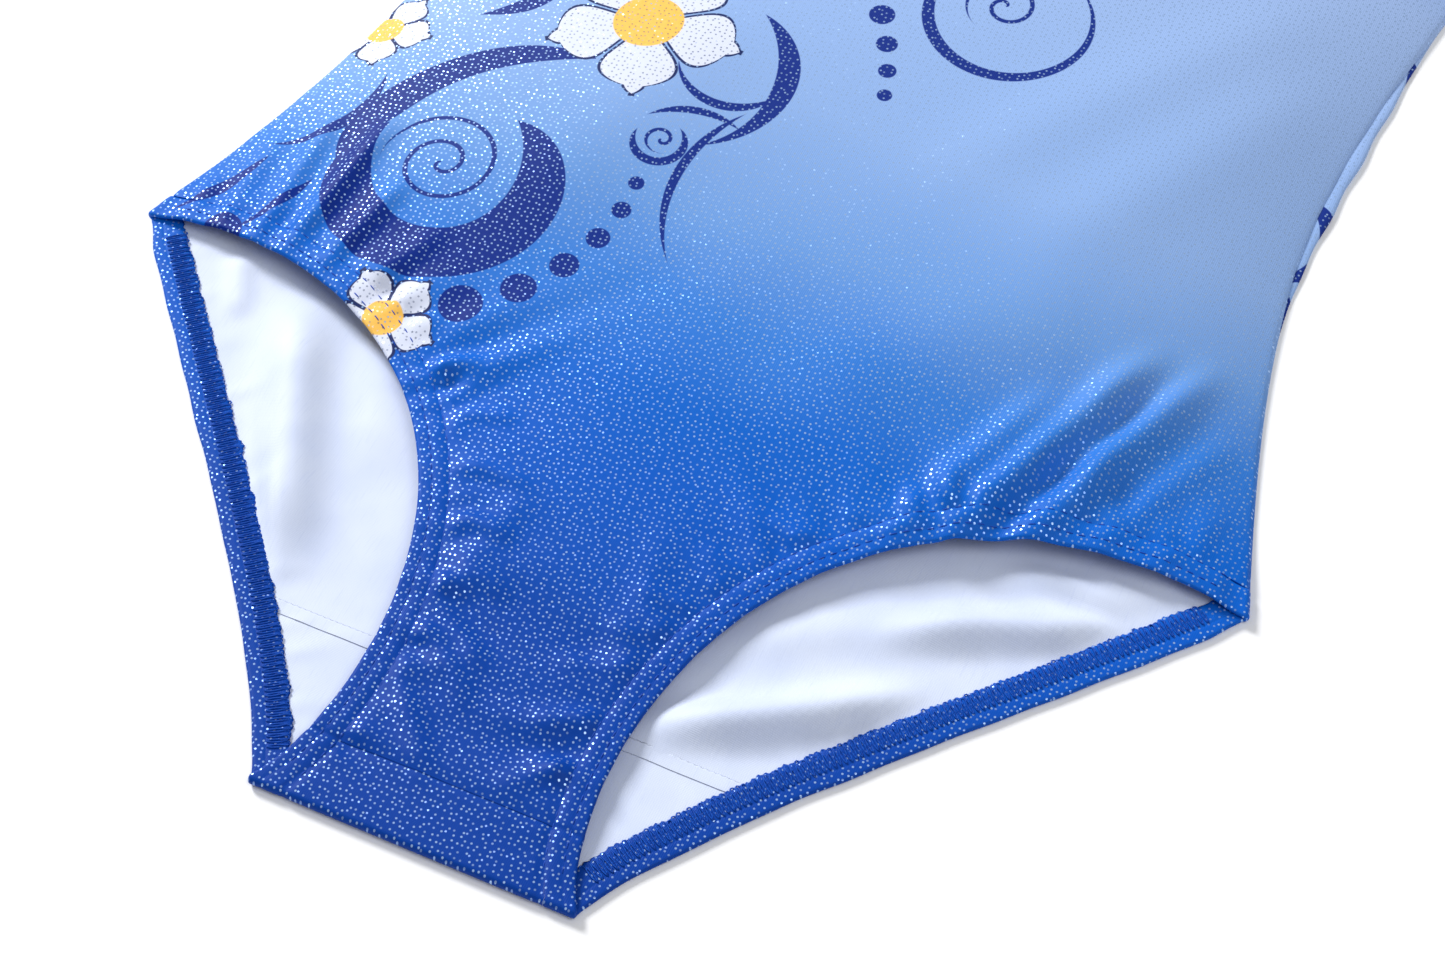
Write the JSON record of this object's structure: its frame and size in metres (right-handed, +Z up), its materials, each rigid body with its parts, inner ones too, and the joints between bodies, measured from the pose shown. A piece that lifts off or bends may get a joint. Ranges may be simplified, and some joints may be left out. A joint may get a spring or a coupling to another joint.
{
  "type": "gymnastics leotard",
  "caption": "Sleeveless child's leotard laid flat, with high-cut elastic leg openings, scoop neck, tank straps and a blue gradient floral print.",
  "frame": {"origin": "under the middle of the outline, on the plane that the back panel lies on", "axes": "+Y runs from the crotch fold to the shoulders, +X to the wearer's left, +Z up out of the front"},
  "size_m": [0.28, 0.54, 0.0142],
  "materials": {
    "printed_knit": "printed stretch knit with a fine foil dot, satin",
    "lining_knit": "matte white knit",
    "elastic": "knitted elastic tape",
    "thread": "textured polyester thread",
    "label": "plain satin ribbon, blank"
  },
  "bodies": {
    "root": {"front_panel": "printed_knit", "back_panel": "printed_knit", "crotch_gusset": "printed_knit", "crotch_lining": "lining_knit", "neck_elastic": "elastic", "left_leg_elastic": "elastic", "right_leg_elastic": "elastic", "left_armhole_elastic": "elastic", "right_armhole_elastic": "elastic", "left_side_seam": "thread", "right_side_seam": "thread", "left_shoulder_seam": "thread", "right_shoulder_seam": "thread", "front_crotch_seam": "thread", "back_crotch_seam": "thread", "left_leg_topstitch": "thread", "right_leg_topstitch": "thread", "left_armhole_topstitch": "thread", "right_armhole_topstitch": "thread", "neck_topstitch": "thread", "care_label": "label"}
  },
  "joints": []
}
